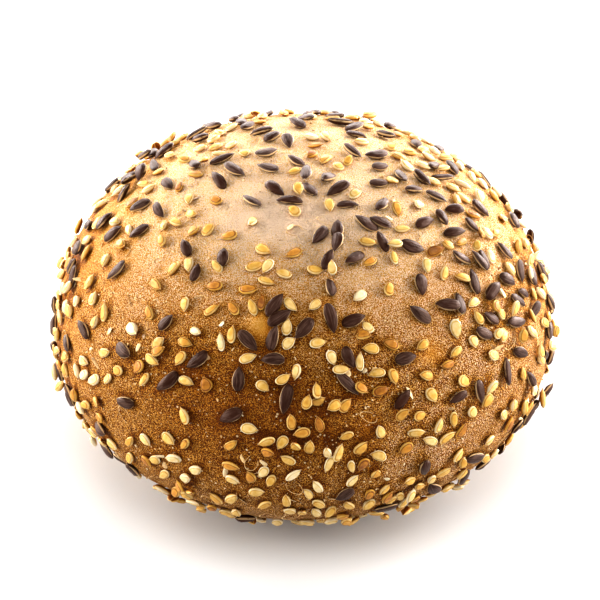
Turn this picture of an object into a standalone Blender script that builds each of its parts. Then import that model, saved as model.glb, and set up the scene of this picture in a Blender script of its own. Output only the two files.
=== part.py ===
"""Seeded round bread roll: one baked piece that stands on its flat underside.

The dough is measured from its heart, the point of the axis level with the widest ring. In every
direction the skin lies at one reach from the heart: above the ring it follows the crown, below
the ring the tucked side, and the baking tray cuts the tuck flat. A few broad swells and hollows,
left by rolling and proving, keep the round from being a perfect one.

Metres, +Z up. The origin is the middle of the underside, and the roll stands on z = 0.
"""

import math

import bmesh
import bpy
from mathutils import Vector

MM = 0.001

# Driving dimensions
ROLL_WIDTH = 97.6 * MM  # across the widest ring
ROLL_HEIGHT = 64 * MM  # from the underside to the crown
RING_HEIGHT = 26.5 * MM  # the widest ring above the underside
TUCK_DEPTH = 29.3 * MM  # how far the tuck would round out below the ring without a tray
CROWN_FULLNESS = 2.13  # superellipse power of the crown: 2 is an ellipse, more is fuller
TUCK_FULLNESS = 2.0  # the same for the tucked side
EDGE_SOFTNESS = 1.2 * MM  # how gently the tuck turns into the flat underside

# Swells and hollows: where each is centred (azimuth from +X and elevation seen from the heart,
# degrees), how wide it spreads (degrees) and how far it lifts the skin (a minus sinks it).
SWELLS = (
    (-118, 10, 34, 0.5 * MM),
    (-58, 36, 26, -0.35 * MM),
    (-18, 6, 30, 0.3 * MM),
    (38, 44, 30, -0.5 * MM),
    (80, 12, 30, 0.5 * MM),
    (140, 34, 34, 0.4 * MM),
    (172, -4, 26, 0.3 * MM),
    (-100, 66, 26, 0.4 * MM),
)

# Fineness of the solid's mesh
AROUND = 72
POLE_TO_POLE = 36

CRUST_COLOUR = (0.52, 0.25, 0.085, 1.0)
CRUST_ROUGHNESS = 0.62

HEART = Vector((0.0, 0.0, RING_HEIGHT))


def clear_scene():
    for obj in list(bpy.data.objects):
        bpy.data.objects.remove(obj)


def unit_vector(azimuth, elevation):
    """The direction with this azimuth and elevation, both in degrees."""
    around, up = math.radians(azimuth), math.radians(elevation)
    return Vector((math.cos(up) * math.cos(around), math.cos(up) * math.sin(around), math.sin(up)))


def superellipse_reach(out, rise, half_width, depth, fullness):
    """Distance from the centre of a superellipse to its edge, along the slope (out, rise)."""
    return ((out / half_width) ** fullness + (rise / depth) ** fullness) ** (-1 / fullness)


def softer_minimum(a, b, softness):
    """The smaller of a and b, eased where they come within softness of each other."""
    closeness = max(softness - abs(a - b), 0.0) / softness
    return min(a, b) - closeness**2 * softness / 4


def swell(direction):
    """Sum of the swells: each is a smooth hill that falls off with the angle from its centre."""
    total = 0.0
    for azimuth, elevation, spread, lift in SWELLS:
        angle = direction.angle(unit_vector(azimuth, elevation))
        total += lift * math.exp(-((angle / math.radians(spread)) ** 2))
    return total


def skin_reach(direction):
    """Distance from the heart to the skin along a unit direction."""
    out, rise = math.hypot(direction.x, direction.y), direction.z
    half_width = ROLL_WIDTH / 2
    if rise >= 0:
        crown = ROLL_HEIGHT - RING_HEIGHT
        return superellipse_reach(out, rise, half_width, crown, CROWN_FULLNESS) + swell(direction)
    fading = 1 - rise**2  # the swells die away towards the tray
    tuck = superellipse_reach(out, -rise, half_width, TUCK_DEPTH, TUCK_FULLNESS)
    tray = RING_HEIGHT / -rise
    return softer_minimum(tuck + fading * swell(direction), tray, EDGE_SOFTNESS)


def crust_material():
    material = bpy.data.materials.new("baked_crust")
    material.use_nodes = True
    shader = material.node_tree.nodes["Principled BSDF"]
    shader.inputs["Base Color"].default_value = CRUST_COLOUR
    shader.inputs["Roughness"].default_value = CRUST_ROUGHNESS
    shader.inputs["Metallic"].default_value = 0.0
    return material


def build_bread_roll():
    """A sphere of directions, each vertex then set out from the heart to the skin."""
    dough = bmesh.new()
    bmesh.ops.create_uvsphere(dough, u_segments=AROUND, v_segments=POLE_TO_POLE, radius=1.0)
    for vertex in dough.verts:
        direction = vertex.co.normalized()
        vertex.co = HEART + direction * skin_reach(direction)
    mesh = bpy.data.meshes.new("bread_roll")
    dough.to_mesh(mesh)
    dough.free()
    mesh.shade_smooth()
    mesh.materials.append(crust_material())
    return bpy.data.objects.new("bread_roll", mesh)


def main():
    clear_scene()
    collection = bpy.data.collections.new("seeded_bread_roll")
    bpy.context.scene.collection.children.link(collection)
    collection.objects.link(build_bread_roll())


main()
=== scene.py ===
"""Looks of the seeded bread roll: the baked crust, the seeds scattered on it, and a plain studio.

The crust is one closed skin, measured in every direction from the heart of the roll, the point of
its axis level with the widest ring, and finished with relief: the orange peel of the baked skin,
prints that lost seeds left, and a shallow seat under every seed that is still there. Sesame seeds
and linseeds are laid flat on the skin by seeded chance, each one with its own size and bend.

Metres, +Z up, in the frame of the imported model.
"""

import itertools
import math

import bpy
import numpy as np
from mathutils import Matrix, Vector


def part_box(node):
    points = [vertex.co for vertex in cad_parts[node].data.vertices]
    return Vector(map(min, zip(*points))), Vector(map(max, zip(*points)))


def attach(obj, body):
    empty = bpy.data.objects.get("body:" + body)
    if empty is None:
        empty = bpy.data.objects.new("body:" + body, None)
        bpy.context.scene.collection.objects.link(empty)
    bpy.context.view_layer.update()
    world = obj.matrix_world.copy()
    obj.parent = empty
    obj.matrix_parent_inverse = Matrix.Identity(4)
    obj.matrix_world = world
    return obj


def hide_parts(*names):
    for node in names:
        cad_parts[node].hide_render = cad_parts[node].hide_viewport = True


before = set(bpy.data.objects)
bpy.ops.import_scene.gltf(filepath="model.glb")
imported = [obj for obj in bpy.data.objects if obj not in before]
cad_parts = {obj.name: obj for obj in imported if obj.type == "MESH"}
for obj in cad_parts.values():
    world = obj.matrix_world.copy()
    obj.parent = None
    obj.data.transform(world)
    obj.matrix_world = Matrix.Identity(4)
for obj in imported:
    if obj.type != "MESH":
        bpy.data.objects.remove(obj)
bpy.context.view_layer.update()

MM = 0.001
TINY = 1e-6
ROLL = "bread_roll"

# The dough's driving sizes, as on the solid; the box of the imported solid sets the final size
ROLL_WIDTH = 97.6 * MM
ROLL_HEIGHT = 64 * MM
RING_HEIGHT = 26.5 * MM
TUCK_DEPTH = 29.3 * MM
CROWN_FULLNESS = 2.13
TUCK_FULLNESS = 2.0
EDGE_SOFTNESS = 1.2 * MM

# Swells and hollows of the dough: azimuth from +X, elevation, spread in degrees, and lift
SWELLS = (
    (-118, 10, 34, 0.5 * MM),
    (-58, 36, 26, -0.35 * MM),
    (-18, 6, 30, 0.3 * MM),
    (38, 44, 30, -0.5 * MM),
    (80, 12, 30, 0.5 * MM),
    (140, 34, 34, 0.4 * MM),
    (172, -4, 26, 0.3 * MM),
    (-100, 66, 26, 0.4 * MM),
)

# ---------------------------------------------------------------------------
# Noise on whole arrays of points
# ---------------------------------------------------------------------------


def lattice_chance(cell, seed):
    """A number from -1 to 1 for each whole-number point: its three coordinates are multiplied by
    large odd numbers, summed, and their bits stirred twice."""
    x, y, z = (cell[..., axis].astype(np.uint32) for axis in range(3))
    stirred = x * np.uint32(374761393) + y * np.uint32(668265263) + z * np.uint32(2246822519)
    stirred = stirred + np.uint32(seed * 974711 % 2**32)
    stirred = (stirred ^ (stirred >> np.uint32(13))) * np.uint32(1274126177)
    stirred = (stirred ^ (stirred >> np.uint32(15))) * np.uint32(2654435761)
    stirred = stirred ^ (stirred >> np.uint32(16))
    return stirred / 2.0**31 - 1


def soft_noise(points, size, seed):
    """Smooth noise from -1 to 1 with features `size` wide: the chance values at the eight corners
    of each cube, blended by the eased distances 3t^2 - 2t^3."""
    place = points / size
    corner = np.floor(place).astype(np.int64)
    ease = place - corner
    ease = ease * ease * (3 - 2 * ease)
    total = np.zeros(points.shape[:-1])
    for step in itertools.product((0, 1), repeat=3):
        share = np.prod(np.where(step, ease, 1 - ease), axis=-1)
        total += share * lattice_chance(corner + np.array(step), seed)
    return total


def unit_vectors(azimuth, elevation):
    """Unit vectors from azimuth and elevation in degrees."""
    around, up = np.radians(azimuth), np.radians(elevation)
    return np.stack([np.cos(up) * np.cos(around), np.cos(up) * np.sin(around), np.sin(up)], axis=-1)


def hills(directions, spots):
    """Sum of spots: each is strength times exp(-(angle from its centre / its spread)^2)."""
    total = np.zeros(directions.shape[:-1])
    for azimuth, elevation, spread, strength in spots:
        angle = np.arccos(np.clip(directions @ unit_vectors(azimuth, elevation), -1, 1))
        total += strength * np.exp(-((angle / math.radians(spread)) ** 2))
    return total


def superellipse_reach(out, rise, half_width, depth, fullness):
    """Distance from the centre of a superellipse to its edge, along the slope (out, rise)."""
    return ((out / half_width) ** fullness + (rise / depth) ** fullness) ** (-1 / fullness)


def dough_points(directions):
    """The dough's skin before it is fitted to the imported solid: the heart plus each direction times
    its reach. The reach is the crown's superellipse above the ring, and below it the eased minimum
    of the tuck's superellipse and the tray; swells lift both and die away towards the tray."""
    out = np.hypot(directions[..., 0], directions[..., 1])
    up = np.maximum(directions[..., 2], TINY)
    down = np.maximum(-directions[..., 2], TINY)
    lift = hills(directions, SWELLS) * (1 - down**2)
    crown = superellipse_reach(
        out, up, ROLL_WIDTH / 2, ROLL_HEIGHT - RING_HEIGHT, CROWN_FULLNESS
    )
    tuck = superellipse_reach(out, down, ROLL_WIDTH / 2, TUCK_DEPTH, TUCK_FULLNESS) + lift
    tray = RING_HEIGHT / down
    closeness = np.maximum(EDGE_SOFTNESS - np.abs(tuck - tray), 0) / EDGE_SOFTNESS
    low = np.minimum(tuck, tray) - closeness**2 * EDGE_SOFTNESS / 4
    reach = np.where(directions[..., 2] >= 0, crown + lift, low)
    return np.array([0, 0, RING_HEIGHT]) + directions * reach[..., None]


def sphere_grid(cells):
    """Directions and quads of a cube blown up to a sphere, `cells` squares along each edge: on each
    face the two coordinates are tangents of evenly spaced angles, and shared edges are welded."""
    tangents = np.tan(np.linspace(-math.pi / 4, math.pi / 4, cells + 1))
    across, along = np.meshgrid(tangents, tangents, indexing="ij")
    faces = []
    for axis, sign in itertools.product(range(3), (-1, 1)):
        face = np.empty((cells + 1, cells + 1, 3))
        face[..., axis] = sign
        face[..., (axis + 1) % 3] = across if sign > 0 else along
        face[..., (axis + 2) % 3] = along if sign > 0 else across
        faces.append(face)
    points = np.concatenate([face.reshape(-1, 3) for face in faces])
    points /= np.linalg.norm(points, axis=1, keepdims=True)
    _, first, place = np.unique(
        np.round(points, 7) + 0.0, axis=0, return_index=True, return_inverse=True
    )
    number = place.reshape(6, cells + 1, cells + 1)
    quads = np.stack(
        [number[:, :-1, :-1], number[:, 1:, :-1], number[:, 1:, 1:], number[:, :-1, 1:]], axis=-1
    )
    return points[first], quads.reshape(-1, 4)


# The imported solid's box, and the linear fit that takes the dough's own box to it
roll_low, roll_high = (np.array(corner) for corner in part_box(ROLL))
coarse = dough_points(sphere_grid(40)[0])
dough_low, dough_high = coarse.min(axis=0), coarse.max(axis=0)


def skin_points(directions):
    """The roll's skin: the dough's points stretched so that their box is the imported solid's."""
    share = (dough_points(directions) - dough_low) / (dough_high - dough_low)
    return roll_low + share * (roll_high - roll_low)


def tangents_of(directions):
    """Two unit vectors square to each direction."""
    helper = np.where(np.abs(directions[..., 2:]) < 0.9, [0.0, 0.0, 1.0], [1.0, 0.0, 0.0])
    side = np.cross(helper, directions)
    side /= np.linalg.norm(side, axis=-1, keepdims=True)
    return side, np.cross(directions, side)


def skin_normals(directions, step=0.004):
    """Outward normals of the skin, from the cross product of its slopes in two directions."""
    slopes = []
    for tangent in tangents_of(directions):
        pair = []
        for way in (step, -step):
            turned = directions + way * tangent
            pair.append(skin_points(turned / np.linalg.norm(turned, axis=-1, keepdims=True)))
        slopes.append(pair[0] - pair[1])
    normals = np.cross(slopes[0], slopes[1])
    return normals / np.linalg.norm(normals, axis=-1, keepdims=True)


# ---------------------------------------------------------------------------
# Where the seeds fell
# ---------------------------------------------------------------------------

SCATTER_SEED = 41
SESAME_COUNT = 715
LINSEED_COUNT = 256
PRINT_COUNT = 85
FLAKE_COUNT = 110
CRUMB_COUNT = 2200

# Sizes of the seeds: length, width and thickness, and how far most seeds stray from them
SESAME_SIZE = np.array((3.35, 1.95, 1.15)) * MM
LINSEED_SIZE = np.array((4.9, 2.4, 1.3)) * MM
PRINT_SIZE = np.array((3.5, 2.1, 0.2)) * MM
FLAKE_SIZE = np.array((2.2, 1.1, 0.14)) * MM
CRUMB_SIZE = np.array((0.38, 0.3, 0.26)) * MM
SIZE_SPREAD = 0.1

# Where more seeds stuck and where few did: azimuth, elevation, spread in degrees, and strength
THICKETS = (
    (-60, 20, 30, 0.3),
    (-20, 35, 35, 0.5),
    (60, 60, 30, 0.3),
    (-82, 68, 14, -1.0),
    (-100, 12, 20, -0.4),
    (130, 40, 25, 0.2),
    (95, 8, 50, -0.3),
    (-101, 35, 3, -9.0),
    (-93, 36, 7, 0.9),
)
LINSEED_THICKETS = (  # more of the same, for linseed alone
    (-85, 74, 30, 0.7),
    (-95, 18, 24, -0.4),
    (-92, -14, 42, -2.6),
    (0, -22, 32, -1.2),
    (180, -22, 32, -1.2),
    (-150, 8, 24, -0.5),
    (90, -18, 45, -1.4),
)
CLUMP_SIZE = 9 * MM  # how wide the chance thick and thin spots are
LOWEST_SEED = 5.5 * MM  # above the table

# A seed covers three discs: their places along its half length, and radii in half widths
DISC_PLACES = np.array((-0.6, 0.0, 0.6))
DISC_RADII = np.array((0.8, 1.0, 0.7))
GAPS = (-0.8 * MM, 1.0 * MM)  # free room asked for round a seed; a minus lets it lie on another

FLAT_TILT = 9  # degrees that most seeds lean from flat
LEANING_TILT = 16  # degrees that a seed lying on another leans
FLAKE_TILT = 26

# The seeds gathered round the big dimple: millimetres to its right, millimetres above it, and the
# way their tips point, in degrees from the right
DIMPLE = (-101, 35)
GATHERED_LINSEED = (
    (0.9, 4.9, 62),
    (2.2, 2.6, 38),
    (1.5, -1.3, 78),
    (-2.9, -2.3, -38),
    (2.0, -5.0, 183),
)
GATHERED_SESAME = (
    (4.0, 5.2, -48),
    (3.9, 1.0, 84),
    (4.6, -1.8, 38),
    (-6.3, -1.5, 100),
)
SUNK = 0.02  # share of its thickness that a seed is sunk in the skin


def tilted(first, second, degrees):
    """Two unit vectors square to each other, turned in their own plane, first towards second."""
    turn = np.radians(degrees)[:, None]
    return (
        first * np.cos(turn) + second * np.sin(turn),
        second * np.cos(turn) - first * np.sin(turn),
    )


class Scatter:
    """Seeds of one kind lying on the skin, one row for each: sizes, centre and three unit vectors,
    forward to the tip, across, and up from the seed's face."""

    def __init__(self, directions, headings, sizes, leans, chance, tilt=FLAT_TILT):
        count = len(directions)
        self.sizes = sizes
        self.leans = leans
        normals = skin_normals(directions)
        side, along = tangents_of(normals)
        turn = headings[:, None]
        forward = side * np.cos(turn) + along * np.sin(turn)
        up = normals
        spread = np.where(leans, LEANING_TILT, tilt)
        across = np.cross(up, forward)
        forward, up = tilted(forward, up, chance.normal(0, 1, count) * spread)
        across, up = tilted(across, up, chance.normal(0, 1, count) * spread)
        self.forward, self.across, self.up = forward, across, up
        rise = sizes[:, 2] * np.where(leans, chance.uniform(0.9, 1.3, count), 0.5 - SUNK)
        self.centres = skin_points(directions) + normals * rise[:, None]

    def place(self, local):
        """Points of each seed's own space (seed, point, 3) set on the roll, as one long list."""
        axes = np.stack([self.forward, self.across, self.up], axis=1)
        placed = self.centres[:, None] + np.einsum("spk,skj->spj", local, axes)
        return placed.reshape(-1, 3)


class Ground:
    """The skin with the discs that seeds already cover."""

    def __init__(self, chance):
        self.chance = chance
        self.spots = np.empty((0, 3))
        self.radii = np.empty(0)

    def candidates(self, count, thickets=()):
        """Directions spread evenly over the skin's area, thinned by the thickets and clumps."""
        directions = self.chance.normal(0, 1, (count, 3))
        directions /= np.linalg.norm(directions, axis=1, keepdims=True)
        points = skin_points(directions)
        reach = np.linalg.norm(points - [0, 0, RING_HEIGHT], axis=1)
        facing = np.einsum("ij,ij->i", skin_normals(directions), directions)
        area = reach**2 / facing
        thick = hills(directions, THICKETS + thickets)
        wish = np.exp(thick + 1.1 * soft_noise(points, CLUMP_SIZE, 5))
        wish = wish * area * (points[:, 2] > LOWEST_SEED)
        return directions[self.chance.uniform(0, wish.max(), count) < wish]

    def strew(self, count, size, tilt):
        """Bits that fall anywhere, as many as are wanted."""
        directions = self.candidates(count * 12)[:count]
        headings = self.chance.uniform(0, 2 * math.pi, count)
        sizes = size * np.exp(self.chance.normal(0, 0.3, (count, 3)))
        return Scatter(directions, headings, sizes, np.zeros(count, bool), self.chance, tilt)

    def sow(self, wanted, size, gathered=(), thickets=()):
        """Lays the gathered seeds first, then throws more one by one and keeps each one that finds
        the room its own gap asks for."""
        chosen = []
        for right, above, heading in gathered:
            middle = unit_vectors(*DIMPLE)
            side, along = tangents_of(middle)
            direction = middle + (right * side + above * along) * MM / np.linalg.norm(
                skin_points(middle) - [0, 0, RING_HEIGHT]
            )
            direction /= np.linalg.norm(direction)
            sizes = size * (1 + SIZE_SPREAD * self.chance.uniform(-1, 1, 3))
            chosen.append((direction, math.radians(heading), sizes, False))
            self.cover(direction, math.radians(heading), sizes)
        for direction in self.candidates(wanted * 30, thickets):
            if len(chosen) == wanted:
                break
            heading = self.chance.uniform(0, 2 * math.pi)
            sizes = size * (1 + SIZE_SPREAD * np.clip(self.chance.normal(0, 1, 3), -2.2, 2.2))
            room = self.room(direction, heading, sizes)
            if room < self.chance.uniform(*GAPS):
                continue
            chosen.append((direction, heading, sizes, room < 0))
            self.cover(direction, heading, sizes)
        directions, headings, sizes, leans = (np.array(column) for column in zip(*chosen))
        return Scatter(directions, headings, sizes, leans, self.chance)

    def discs(self, direction, heading, sizes):
        """The middles and radii of the discs that a seed covers."""
        side, along = tangents_of(direction)
        forward = side * math.cos(heading) + along * math.sin(heading)
        middles = skin_points(direction) + (DISC_PLACES * sizes[0] / 2)[:, None] * forward
        return middles, DISC_RADII * sizes[1] / 2

    def cover(self, direction, heading, sizes):
        middles, radii = self.discs(direction, heading, sizes)
        self.spots = np.concatenate([self.spots, middles])
        self.radii = np.concatenate([self.radii, radii])

    def room(self, direction, heading, sizes):
        """The free distance between a seed here and the nearest ones already there."""
        middles, radii = self.discs(direction, heading, sizes)
        if not len(self.radii):
            return math.inf
        apart = np.linalg.norm(self.spots[:, None] - middles[None], axis=-1)
        return (apart - self.radii[:, None] - radii[None]).min()


# ---------------------------------------------------------------------------
# Meshes
# ---------------------------------------------------------------------------


def new_piece(name, points, faces, material, attributes=None, plan=None):
    """A smooth-shaded mesh piece that rides on the roll's body, with a number or a map for each
    of its points."""
    mesh = bpy.data.meshes.new(name)
    mesh.from_pydata(points, [], faces)
    mesh.shade_smooth()
    for label, values in (attributes or {}).items():
        attribute = mesh.attributes.new(label, "FLOAT", "POINT")
        attribute.data.foreach_set("value", values.astype(np.float32))
    if plan is not None:
        corner = np.empty(len(mesh.loops), dtype=np.int32)
        mesh.loops.foreach_get("vertex_index", corner)
        mesh.uv_layers.new(name="plan").data.foreach_set("uv", plan[corner].astype(np.float32).ravel())
    mesh.materials.append(material)
    piece = bpy.data.objects.new(name, mesh)
    bpy.context.scene.collection.objects.link(piece)
    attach(piece, "root")
    return piece


CRUST_CELLS = 126  # squares along each edge of the blown-up cube

PEEL = ((6.5 * MM, 0.16 * MM, 11), (3.0 * MM, 0.07 * MM, 12), (1.4 * MM, 0.035 * MM, 13))


# Where the crust is browner or paler: azimuth, elevation, spread, strength. Partly uneven baking and
# partly painted light: the darker spots at the front, the side that faces the camera, are painted
# shade; the paler spots on the flanks and round the crown are painted light; and the darker spots at
# the back tone down the side that the strongest softboxes light.
BROWNING_AND_PAINTED_LIGHT = (
    (-112, 18, 18, 0.22),
    (-86, 18, 15, 0.2),
    (-88, 46, 14, 0.1),
    (-85, 29, 7, -0.08),
    (-102.5, 36.5, 3.6, -0.22),
    (-60, 0, 15, -0.12),
    (-105, 10, 16, 0.06),
    (-25, 22, 24, -0.22),
    (5, 30, 26, -0.1),
    (-152, 22, 20, -0.1),
    (178, 36, 26, -0.06),
    (-72, 64, 20, -0.14),
    (-120, 68, 16, -0.12),
    (60, 15, 24, 0.12),
    (110, 12, 26, 0.12),
)

# Dimples and blisters: azimuth, elevation, spread in degrees, and lift
DIMPLES = (
    (-101, 35, 2.8, -0.75 * MM),
    (-104, 37.5, 2.2, 0.35 * MM),
    (-5, 78, 4.0, -0.4 * MM),
    (-55, 25, 3.0, -0.3 * MM),
    (150, 50, 4.0, -0.45 * MM),
    (70, 30, 3.0, 0.4 * MM),
)

# Where the skin is smooth and shiny: azimuth, elevation, spread in degrees, and how much
SMOOTH = (
    (176, 20, 38, 0.45),
    (4, 14, 34, 0.4),
    (-102.5, 36, 3.4, 1.0),
    (-5, 78, 4.0, 0.5),
    (-55, 25, 3.0, 0.5),
    (-75, 12, 3.0, 0.5),
    (70, 30, 3.0, 0.6),
    (150, 50, 4.0, 0.6),
)


def print_shape(distance):
    """Across a seed print, 0 its middle and 1 its edge: a shallow flat dent."""
    return -0.22 * MM * np.exp(-((distance / 0.9) ** 6))


def seat_shape(distance):
    """Across a seed's seat, 0 its middle and 1 the seed's edge: a shallow dish."""
    return -0.16 * MM * np.exp(-((distance / 1.1) ** 4))


def pressed(points, scatter, shape):
    """Sum over the seeds of shape(distance), the distance being 1 on the seed's own ellipse."""
    total = np.zeros(len(points))
    rows = zip(scatter.centres, scatter.forward, scatter.across, scatter.sizes)
    for centre, forward, across, size in rows:
        offset = points - centre
        near = np.flatnonzero(np.einsum("ij,ij->i", offset, offset) < (size[0] * 1.2) ** 2)
        along = offset[near] @ forward / (size[0] / 2)
        aside = offset[near] @ across / (size[1] / 2)
        total[near] += shape(np.hypot(along, aside))
    return total


def build_crust(sesame, linseed, prints):
    """The roll's skin plus its relief: orange peel, seed prints and the seats of the seeds, which
    all die away on the flat underside."""
    directions, quads = sphere_grid(CRUST_CELLS)
    points, normals = skin_points(directions), skin_normals(directions)
    relief = sum(height * soft_noise(points, size, seed) for size, height, seed in PEEL)
    relief = relief + hills(directions, DIMPLES) + pressed(points, prints, print_shape)
    relief = relief + pressed(points, sesame, seat_shape) + pressed(points, linseed, seat_shape)
    clear = np.clip((points[:, 2] - 0.4 * MM) / (3 * MM), 0, 1)
    points = points + normals * (relief * clear * clear * (3 - 2 * clear))[:, None]
    # Painted shade: a contact shadow is painted on the crust round every seed
    shelter = pressed(points, sesame, seed_shadow_falloff) + pressed(points, linseed, seed_shadow_falloff)
    attributes = {
        "smooth": np.clip(hills(directions, SMOOTH), 0, 1),
        "shelter": np.clip(shelter, 0, 1),
        "browning": hills(directions, BROWNING_AND_PAINTED_LIGHT),
    }
    crust = new_piece("crust", points, quads, crust_paint(), attributes)
    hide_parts(ROLL)
    return crust


def seed_shadow_falloff(distance):
    """Painted contact shadow of a seed on the crust: how much it darkens the crust round the seed, 1
    under the seed and fading by its width.
    """
    return np.exp(-((distance / 1.35) ** 4))


class SeedForm:
    """The form of one kind of seed, whose surface is a function of the place along the seed, from
    -1 at the butt to 1 at the tip, and of the angle round its long axis."""

    def __init__(self, rings, around, tip, butt, beak, shoulder, dent):
        self.rings, self.around = rings, around
        self.tip, self.butt = tip, butt  # powers of the outline: a higher one is more pointed
        self.beak = beak  # where the beak starts, and its half width as a share of the seed's
        self.shoulder = shoulder  # power of the section: under 1 is boxy, over 1 is lens-like
        self.dent = dent  # how deep the upper face sinks, as a share of the half thickness

    def outline(self, along):
        """Half width: the larger of the body, (1 - t)^tip (1 + t)^butt over its highest value with
        t stretched to end where the beak starts, and the beak, which narrows as (1 - x)^0.6."""
        start, beak_width = self.beak
        inside = np.clip((along + 1) * 2 / (start + 1) - 1, -1, 1)
        widest = (self.butt - self.tip) / (self.butt + self.tip)
        highest = (1 - widest) ** self.tip * (1 + widest) ** self.butt
        body = (1 - inside) ** self.tip * (1 + inside) ** self.butt / highest
        beak = beak_width * (np.clip(1 - along, 0, 1) / (1 - start)) ** 0.6 * (along > 0)
        return np.maximum(body, np.minimum(beak, 1))

    def bodies(self, sizes, chance):
        """Every seed's own points (seed, point, 3) and their plan: on the outline's half width
        times cos of the angle, and the half thickness (1 - x^2)^0.4 times sin of it, each seed
        with its own bend, crook and lumps. The plan's second part is that cos, which runs on from
        1 to 2 on the underside. The two ends come last."""
        count = len(sizes)
        along = np.cos(np.linspace(math.pi, 0, self.rings + 2)[1:-1])[None, :, None]
        angle = np.linspace(0, 2 * math.pi, self.around, endpoint=False)[None, None, :]
        length, width, thickness = (sizes[:, axis][:, None, None] / 2 for axis in range(3))
        cosine = np.cos(angle) * np.ones((count, self.rings, 1))
        aside = self.outline(along) * cosine
        lump = 1 + 0.06 * chance.normal(0, 1, (count, self.rings, self.around))
        sine = np.sin(angle)
        high = np.maximum(1 - along**2, 0) ** 0.4 * np.minimum(1, self.outline(along) * 1.6)
        height = high * np.sign(sine) * np.abs(sine) ** self.shoulder * lump
        hollow = np.exp(-((cosine / 0.62) ** 4)) * high * (sine > 0.1)
        height = height - self.dent * hollow
        bend = chance.normal(0, 0.05, (count, 1, 1))
        crook = chance.normal(0, 0.12, (count, 1, 1))
        body = np.stack(
            np.broadcast_arrays(
                along * length,
                aside * width * (0.6 + 0.4 * lump) + crook * along**2 * width,
                height * thickness + bend * along**2 * length,
            ),
            axis=-1,
        ).reshape(count, -1, 3)
        ends = np.stack(
            [
                np.stack([way * length, crook * width, bend * length], axis=-1).reshape(count, 3)
                for way in (-1, 1)
            ],
            axis=1,
        )
        beyond = np.where(sine < 0, np.sign(cosine) * (2 - np.abs(cosine)), cosine)
        plan = np.stack(np.broadcast_arrays(along, beyond), axis=-1).reshape(count, -1, 2)
        plan_ends = np.broadcast_to([[-1.0, 0.0], [1.0, 0.0]], (count, 2, 2))
        return np.concatenate([body, ends], axis=1), np.concatenate([plan, plan_ends], axis=1)

    def faces(self, count):
        """Quads between the rings and triangles round both ends, for `count` seeds in a row."""
        ring = np.arange(self.rings * self.around).reshape(self.rings, self.around)
        turned = np.roll(ring, -1, axis=1)
        quads = np.stack([ring[:-1], turned[:-1], turned[1:], ring[1:]], axis=-1).reshape(-1, 4)
        butt, tip = ring.size, ring.size + 1
        fans = [
            np.stack([turned[0], ring[0], np.full(self.around, butt)], axis=-1),
            np.stack([ring[-1], turned[-1], np.full(self.around, tip)], axis=-1),
        ]
        steps = np.arange(count)[:, None, None] * (ring.size + 2)
        quads = (quads[None] + steps).reshape(-1, 4)
        fans = (np.concatenate(fans)[None] + steps).reshape(-1, 3)
        return quads.tolist() + fans.tolist()


SESAME_FORM = SeedForm(
    rings=8, around=12, tip=0.62, butt=0.5, beak=(0.8, 0.24), shoulder=0.62, dent=0.2
)
LINSEED_FORM = SeedForm(
    rings=9, around=12, tip=0.66, butt=0.48, beak=(0.93, 0.14), shoulder=0.9, dent=0.0
)
FLAKE_FORM = SeedForm(
    rings=5, around=8, tip=0.5, butt=0.6, beak=(0.96, 0.1), shoulder=1.0, dent=0.0
)
CRUMB_FORM = SeedForm(
    rings=2, around=5, tip=0.4, butt=0.4, beak=(0.98, 0.1), shoulder=1.0, dent=0.0
)


def build_seeds(name, form, scatter, paint, chance):
    """All seeds of one kind as one joined mesh, with a shade of its own for each seed."""
    local, plan = form.bodies(scatter.sizes, chance)
    count, each = local.shape[:2]
    shade = np.repeat(np.clip(chance.normal(0.52, 0.25, count), 0, 1), each)
    points, faces = scatter.place(local), form.faces(count)
    return new_piece(name, points, faces, paint, {"shade": shade}, plan.reshape(-1, 2))


RIM_AROUND, RIM_SECTION = 28, 4


def build_print_rims(scatter, paint, chance):
    """The thin ragged rims left round seed prints: closed loops over an egg-shaped path, thick and
    thin by chance and sunk out of sight in places."""
    count = len(scatter.sizes)
    turn = np.linspace(0, 2 * math.pi, RIM_AROUND, endpoint=False)[None, :, None]
    section = np.linspace(0, 2 * math.pi, RIM_SECTION, endpoint=False)[None, None, :]
    length, width = (scatter.sizes[:, axis][:, None, None] / 2 for axis in (0, 1))
    waves = np.zeros((count, RIM_AROUND, 1))
    for number in (1, 2, 3, 5):
        phase = chance.uniform(0, 2 * math.pi, (count, 1, 1))
        waves = waves + 0.5 * np.sin(turn * number + phase)
    thick = (0.06 + 0.02 * waves).clip(0.03, 0.09) * MM
    out = 1 + thick / width * np.cos(section)
    loops = np.stack(
        np.broadcast_arrays(
            length * np.cos(turn) * out,
            width * np.sin(turn) * (1 - 0.22 * np.cos(turn)) * out,
            thick * 0.7 * np.sin(section) + (thick - 0.05 * MM) + 0 * length,
        ),
        axis=-1,
    ).reshape(count, -1, 3)
    number = np.arange(RIM_AROUND * RIM_SECTION).reshape(RIM_AROUND, RIM_SECTION)
    ahead, beside = np.roll(number, -1, axis=0), np.roll(number, -1, axis=1)
    quads = np.stack([number, ahead, np.roll(ahead, -1, axis=1), beside], axis=-1).reshape(-1, 4)
    quads = (quads[None] + np.arange(count)[:, None, None] * number.size).reshape(-1, 4)
    return new_piece("print_rims", scatter.place(loops), quads.tolist(), paint)


# ---------------------------------------------------------------------------
# Paint
# ---------------------------------------------------------------------------


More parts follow.
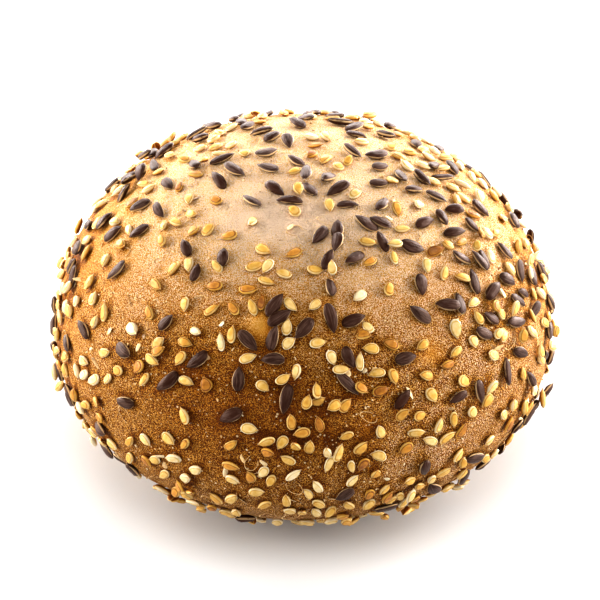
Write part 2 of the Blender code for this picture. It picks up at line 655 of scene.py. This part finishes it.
class Wire:
    """A shader socket in a Python expression: each operator adds a Math node."""

    def __init__(self, paint, socket):
        self.paint, self.socket = paint, socket

    def __add__(self, other):
        return self.paint.maths("ADD", self, other)

    def __radd__(self, other):
        return self.paint.maths("ADD", other, self)

    def __sub__(self, other):
        return self.paint.maths("SUBTRACT", self, other)

    def __rsub__(self, other):
        return self.paint.maths("SUBTRACT", other, self)

    def __mul__(self, other):
        return self.paint.maths("MULTIPLY", self, other)

    def __rmul__(self, other):
        return self.paint.maths("MULTIPLY", other, self)

    def __truediv__(self, other):
        return self.paint.maths("DIVIDE", self, other)

    def __pow__(self, other):
        return self.paint.maths("POWER", self, other)

    def __abs__(self):
        return self.paint.maths("ABSOLUTE", self)


class Paint:
    """A material under construction, with one Principled shader."""

    def __init__(self, name, constants):
        self.material = bpy.data.materials.new(name)
        self.material.use_nodes = True
        self.tree = self.material.node_tree
        self.shader = self.tree.nodes["Principled BSDF"]
        for label, value in constants.items():
            self.shader.inputs[label].default_value = value

    def add(self, kind, settings=None, sockets=None, output=0):
        """A node of this kind: its settings first, then its sockets' values or wires."""
        node = self.tree.nodes.new(kind)
        for label, value in (settings or {}).items():
            if label == "stops":
                self.set_stops(node.color_ramp, value)
            else:
                setattr(node, label, value)
        for label, value in (sockets or {}).items():
            self.feed(node.inputs[label], value)
        return Wire(self, node.outputs[output])

    def feed(self, socket, value):
        if isinstance(value, Wire):
            self.tree.links.new(value.socket, socket)
        else:
            socket.default_value = value

    @staticmethod
    def set_stops(ramp, stops):
        while len(ramp.elements) < len(stops):
            ramp.elements.new(1.0)
        for element, (position, colour) in zip(ramp.elements, stops):
            element.position = position
            element.color = colour

    def maths(self, operation, *values):
        return self.add("ShaderNodeMath", {"operation": operation}, dict(enumerate(values)))

    def rise(self, value, start, end):
        """0 up to start, 1 from end on, and eased between."""
        settings = {"interpolation_type": "SMOOTHSTEP"}
        return self.add("ShaderNodeMapRange", settings, {"Value": value, 1: start, 2: end})

    def mix(self, factor, first, second, blend="MIX"):
        """Two colours mixed by a factor."""
        settings = {"data_type": "RGBA", "blend_type": blend}
        return self.add("ShaderNodeMix", settings, {0: factor, 6: first, 7: second}, output=2)

    def place(self):
        return self.add("ShaderNodeTexCoord", output=3)

    def noise(self, size, detail=2.0, roughness=0.5, place=None):
        """Noise with features `size` wide, in metres, from about 0 to 1."""
        place = place or self.place()
        sockets = {"Vector": place, "Scale": 1 / size, "Detail": detail, "Roughness": roughness}
        return self.add("ShaderNodeTexNoise", {}, sockets)

    def cells(self, size, place=None, output=0):
        """Distance to the middle of the nearest of many cells `size` wide; output 1 is a chance
        value for each cell."""
        place = place or self.place()
        wire = self.add("ShaderNodeTexVoronoi", {}, {"Vector": place, "Scale": 1 / size}, output)
        return self.split(wire)[0] if output else wire

    def vector(self, operation, *values):
        return self.add("ShaderNodeVectorMath", {"operation": operation}, dict(enumerate(values)))

    def dot(self, first, second):
        settings = {"operation": "DOT_PRODUCT"}
        return self.add("ShaderNodeVectorMath", settings, {0: first, 1: second}, output=1)

    def split(self, vector):
        """The three parts of a vector or a colour."""
        parts = self.add("ShaderNodeSeparateXYZ", {}, {0: vector}).socket.node
        return [Wire(self, socket) for socket in parts.outputs]

    def combine(self, *parts):
        return self.add("ShaderNodeCombineXYZ", {}, dict(enumerate(parts)))

    def plan(self):
        """The two parts of the piece's own map."""
        return self.split(self.add("ShaderNodeUVMap", {"uv_map": "plan"}))[:2]

    def ramp(self, factor, stops):
        return self.add("ShaderNodeValToRGB", {"stops": stops}, {"Fac": factor})

    def attribute(self, name):
        settings = {"attribute_type": "GEOMETRY", "attribute_name": name}
        return self.add("ShaderNodeAttribute", settings, output=2)

    def bump(self, height, distance, strength=1.0, below=None):
        """A normal from a height that is worth `distance` metres at 1."""
        sockets = {"Height": height, "Distance": distance, "Strength": strength}
        if below is not None:
            sockets["Normal"] = below
        return self.add("ShaderNodeBump", {}, sockets)


# The crust's colours from pale to dark, looked up by its tone from baking together with the painted
# light and shade on it
CRUST_TONES = (
    (0.0, (0.87, 0.64, 0.46, 1)),
    (0.12, (0.81, 0.51, 0.21, 1)),
    (0.27, (0.72, 0.375, 0.065, 1)),
    (0.5, (0.50, 0.185, 0.008, 1)),
    (0.75, (0.29, 0.08, 0.0005, 1)),
    (1.0, (0.125, 0.027, 0.0005, 1)),
)


def crust_paint():
    """Baked crust: pale on the crown and browner round the sides, in broad uneven patches, with a
    sand-like grain whose bumps are paler than the pits between them. The colour is partly painted
    light and shade: the paler crown stands in part for the bright light on the top, the darker front
    and paler flanks of the brown spots are painted shade and light, a painted contact shadow darkens
    the crust round every seed, and the darker pits of the grain are partly painted shade."""
    paint = Paint("baked_crust", {"Specular IOR Level": 0.1})
    place = paint.place()
    reach = paint.vector("SUBTRACT", place, (0, 0, RING_HEIGHT))
    rise = paint.dot(paint.vector("NORMALIZE", reach), (0, 0, 1))
    # Painted light in part: the crown is paler, standing in for the bright light that falls on the top
    crown = paint.rise(rise, 0.3, 0.92)
    patches = paint.noise(22 * MM, 2, place=place) - 0.5
    mottle = paint.noise(4.5 * MM, 3, place=place) - 0.5
    # The brown spots are partly painted shade and light: darker at the front, which faces the camera,
    # and paler on the flanks
    tone_and_painted_light = 0.59 - crown * 0.54 + patches * 0.16 + mottle * 0.14 + paint.attribute("browning")
    grain = paint.noise(0.25 * MM, 1, 0.7, place=place) - 0.5
    crisp = paint.rise(paint.noise(0.2 * MM, 1, 0.6, place=place), 0.42, 0.58) - 0.5
    smooth = paint.attribute("smooth")
    # Painted shade in part: the grain darkens the pits between the bumps and pales the bumps, standing
    # in for the shading of the fine relief
    grain_and_pit_shade = (grain * -0.9 - crisp * 0.85) * (1 - crown * 0.6)
    # Painted shade: the crust darkens round every seed as a painted contact shadow, more low on the
    # sides than on the crown
    tone_and_painted_light = tone_and_painted_light + paint.attribute("shelter") * (0.34 - crown * 0.26) + grain_and_pit_shade * (1 - smooth * 0.85)
    colour = paint.ramp(tone_and_painted_light, CRUST_TONES)
    speck = paint.cells(1.1 * MM, place=place) + paint.noise(1.7 * MM, 1, place=place) * 0.5
    specks = (1 - paint.rise(speck, 0.3, 0.42)) * (1 - smooth)
    colour = paint.mix(specks, colour, (0.85, 0.66, 0.38, 1))
    paint.feed(paint.shader.inputs["Base Color"], colour)
    paint.feed(paint.shader.inputs["Roughness"], 0.62 + mottle * 0.3 - smooth * 0.2)
    fine = paint.bump(grain * (1 - smooth * 0.9), 0.9 * MM, 1.0)
    normal = paint.bump(1 - paint.cells(0.6 * MM, place=place), 0.1 * MM, 1.0, fine)
    paint.feed(paint.shader.inputs["Normal"], normal)
    return paint.material


def seed_plan(paint):
    """The place along the seed, the place across it, and how near that is to the seed's rim."""
    along, aside = paint.plan()
    rim = (along**4 + aside**4) ** 0.25
    return along, aside, rim


HUSK_SHADES = (
    (0.0, (0.86, 0.74, 0.5, 1)),
    (0.6, (0.74, 0.52, 0.24, 1)),
    (1.0, (0.4, 0.22, 0.1, 1)),
)
CRUMB_SHADES = (
    (0.0, (0.88, 0.74, 0.5, 1)),
    (0.5, (0.72, 0.46, 0.18, 1)),
    (1.0, (0.4, 0.18, 0.05, 1)),
)
SESAME_SHADES = (
    (0.0, (0.81, 0.67, 0.44, 1)),
    (0.25, (0.75, 0.545, 0.23, 1)),
    (0.5, (0.65, 0.385, 0.07, 1)),
    (0.75, (0.53, 0.235, 0.025, 1)),
    (1.0, (0.25, 0.075, 0.006, 1)),
)


def sesame_paint():
    """Toasted sesame: cream to golden brown, a pale rim and a brown line round the face, and a brown
    beak, with painted shade darkening the underside beyond the rim."""
    paint = Paint("toasted_sesame", {"Roughness": 0.45, "Specular IOR Level": 0.35})
    along, aside, rim = seed_plan(paint)
    shade = paint.attribute("shade")
    stains = paint.noise(0.9 * MM, 2) - 0.5
    line = paint.rise(rim, 0.62, 0.74) * (1 - paint.rise(rim, 0.76, 0.86))
    edge = paint.rise(rim, 0.8, 0.92)
    # Painted shade: the seed's underside, past its rim, is darkened
    under = paint.rise(abs(aside), 0.97, 1.25)
    face = 1 - paint.rise(rim, 0.1, 0.7)
    toast_and_underside_shade = shade * 0.85 + stains * 0.5 + face * 0.1 + line * 0.3 - edge * 0.22 + under * 0.9
    colour = paint.ramp(toast_and_underside_shade, SESAME_SHADES)
    colour = paint.mix(paint.rise(along, 0.72, 0.95) * 0.8, colour, (0.42, 0.19, 0.05, 1))
    paint.feed(paint.shader.inputs["Base Color"], colour)
    height = edge - line * 0.7 + paint.noise(0.35 * MM, 2) * 0.5
    paint.feed(paint.shader.inputs["Normal"], paint.bump(height, 0.08 * MM))
    return paint.material


def linseed_paint():
    """Baked linseed: dark red brown with a grey bloom in lengthwise wrinkles, and a tan line along
    both edges, a painted highlight where the thin edges catch the light."""
    constants = {"Specular IOR Level": 0.34, "Specular Tint": (1.0, 0.7, 0.55, 1)}
    paint = Paint("baked_linseed", constants)
    along, aside, rim = seed_plan(paint)
    shade = paint.attribute("shade")
    stretched = paint.combine(along * 0.8, aside * 3.2, shade * 40)
    wrinkles = paint.noise(0.8, 3, 0.6, place=stretched)
    bloom = paint.rise(wrinkles + shade * 0.2, 0.54, 0.8)
    colour = paint.mix(shade, (0.042, 0.01, 0.003, 1), (0.02, 0.005, 0.002, 1))
    colour = paint.mix(bloom * 0.4, colour, (0.22, 0.125, 0.09, 1))
    # Painted highlight: a tan band along the thin edges, where they catch the light
    band = paint.rise(abs(aside), 0.9, 0.96) * (1 - paint.rise(abs(aside), 1.02, 1.1))
    edge = band * paint.rise(wrinkles + shade * 0.3, 0.45, 0.65)
    colour = paint.mix(edge, colour, (0.6, 0.42, 0.22, 1))
    paint.feed(paint.shader.inputs["Base Color"], colour)
    paint.feed(paint.shader.inputs["Roughness"], 0.36 + bloom * 0.2)
    paint.feed(paint.shader.inputs["Normal"], paint.bump(wrinkles, 0.16 * MM))
    return paint.material


def husk_paint():
    """Papery straw-coloured husk."""
    paint = Paint("straw_husk", {"Roughness": 0.45})
    colour = paint.ramp(paint.attribute("shade") + paint.noise(0.5 * MM, 2) - 0.5, HUSK_SHADES)
    paint.feed(paint.shader.inputs["Base Color"], colour)
    return paint.material


def crumb_paint():
    """Pale crumbs of crust and flour."""
    paint = Paint("pale_crumbs", {"Roughness": 0.7})
    colour = paint.ramp(paint.attribute("shade") + paint.noise(0.3 * MM, 2) - 0.5, CRUMB_SHADES)
    paint.feed(paint.shader.inputs["Base Color"], colour)
    return paint.material


def print_rim_paint():
    """The pale dry rim round a seed print."""
    paint = Paint("dry_print_rims", {"Roughness": 0.6})
    colour = paint.ramp(paint.noise(0.8 * MM, 2), CRUMB_SHADES)
    paint.feed(paint.shader.inputs["Base Color"], colour)
    return paint.material


# ---------------------------------------------------------------------------
# Studio
# ---------------------------------------------------------------------------

CAMERA_ELEVATION = 36  # degrees
CAMERA_DISTANCE = 0.75
CAMERA_LENS = 227  # millimetres, on a 36 mm sensor
CAMERA_AIM = Vector((-0.7, 0.5, 32.7)) * MM
FLOOR_WIDTH = 6.0

VIEW_GAMMA = 0.8
WORLD_STRENGTH = 0.28
SOFTBOX_SIZE = 0.8
SOFTBOX_DISTANCE = 1.3

# The studio's softboxes: azimuth, elevation in degrees, and power in watts
SOFTBOXES = {
    "left_wall": (180, 8, 29),
    "right_wall": (0, 8, 30),
    "back_left_wall": (135, 8, 38),
    "back_right_wall": (45, 8, 52),
    "back_wall": (90, 8, 22),
    "front_top": (-90, 65, 11),
}


def build_camera():
    elevation = math.radians(CAMERA_ELEVATION)
    back = Vector((0, -math.cos(elevation), math.sin(elevation)))
    camera = bpy.data.cameras.new("camera")
    camera.lens = CAMERA_LENS
    camera.sensor_width = 36
    camera.clip_start = 0.01
    camera_object = bpy.data.objects.new("camera", camera)
    camera_object.location = CAMERA_AIM + back * CAMERA_DISTANCE
    camera_object.rotation_euler = back.to_track_quat("Z", "Y").to_euler()
    bpy.context.scene.collection.objects.link(camera_object)
    bpy.context.scene.camera = camera_object


def build_floor():
    """A plain pale floor, level with the roll's underside."""
    half = FLOOR_WIDTH / 2
    mesh = bpy.data.meshes.new("floor")
    corners = [(-half, -half, 0), (half, -half, 0), (half, half, 0), (-half, half, 0)]
    mesh.from_pydata(corners, [], [(0, 1, 2, 3)])
    constants = {"Base Color": (0.72, 0.72, 0.72, 1), "Roughness": 0.9, "Specular IOR Level": 0.1}
    paint = Paint("pale_floor", constants)
    mesh.materials.append(paint.material)
    floor = bpy.data.objects.new("floor", mesh)
    bpy.context.scene.collection.objects.link(floor)


def add_softbox(name, azimuth, elevation, power):
    """A square area light that faces the roll from this azimuth and elevation."""
    light = bpy.data.lights.new(name, "AREA")
    light.shape = "SQUARE"
    light.size = SOFTBOX_SIZE
    light.energy = power
    lamp = bpy.data.objects.new(name, light)
    towards = Vector(unit_vectors(azimuth, elevation))
    lamp.location = Vector((0, 0, RING_HEIGHT)) + towards * SOFTBOX_DISTANCE
    lamp.rotation_euler = towards.to_track_quat("Z", "Y").to_euler()
    lamp.visible_camera = False
    bpy.context.scene.collection.objects.link(lamp)


def build_studio():
    """A dim world, bright softboxes to both sides and behind, and one high in front."""
    world = bpy.data.worlds.new("studio")
    world.use_nodes = True
    background = world.node_tree.nodes["Background"]
    background.inputs["Color"].default_value = (1, 1, 1, 1)
    background.inputs["Strength"].default_value = WORLD_STRENGTH
    bpy.context.scene.world = world
    for name, (azimuth, elevation, power) in SOFTBOXES.items():
        add_softbox(name, azimuth, elevation, power)
    bpy.context.scene.view_settings.view_transform = "Standard"
    bpy.context.scene.view_settings.look = "None"
    bpy.context.scene.view_settings.gamma = VIEW_GAMMA


def main():
    build_camera()
    chance = np.random.default_rng(SCATTER_SEED)
    ground = Ground(chance)
    linseed = ground.sow(LINSEED_COUNT, LINSEED_SIZE, GATHERED_LINSEED, LINSEED_THICKETS)
    sesame = ground.sow(SESAME_COUNT, SESAME_SIZE, GATHERED_SESAME)
    prints = ground.sow(PRINT_COUNT, PRINT_SIZE)
    flakes = ground.strew(FLAKE_COUNT, FLAKE_SIZE, FLAKE_TILT)
    crumbs = ground.strew(CRUMB_COUNT, CRUMB_SIZE, FLAKE_TILT)
    build_crust(sesame, linseed, prints)
    build_print_rims(prints, print_rim_paint(), chance)
    build_seeds("linseed", LINSEED_FORM, linseed, linseed_paint(), chance)
    build_seeds("sesame_seed", SESAME_FORM, sesame, sesame_paint(), chance)
    build_seeds("husk_flakes", FLAKE_FORM, flakes, husk_paint(), chance)
    build_seeds("crumbs", CRUMB_FORM, crumbs, crumb_paint(), chance)
    build_floor()
    build_studio()


main()
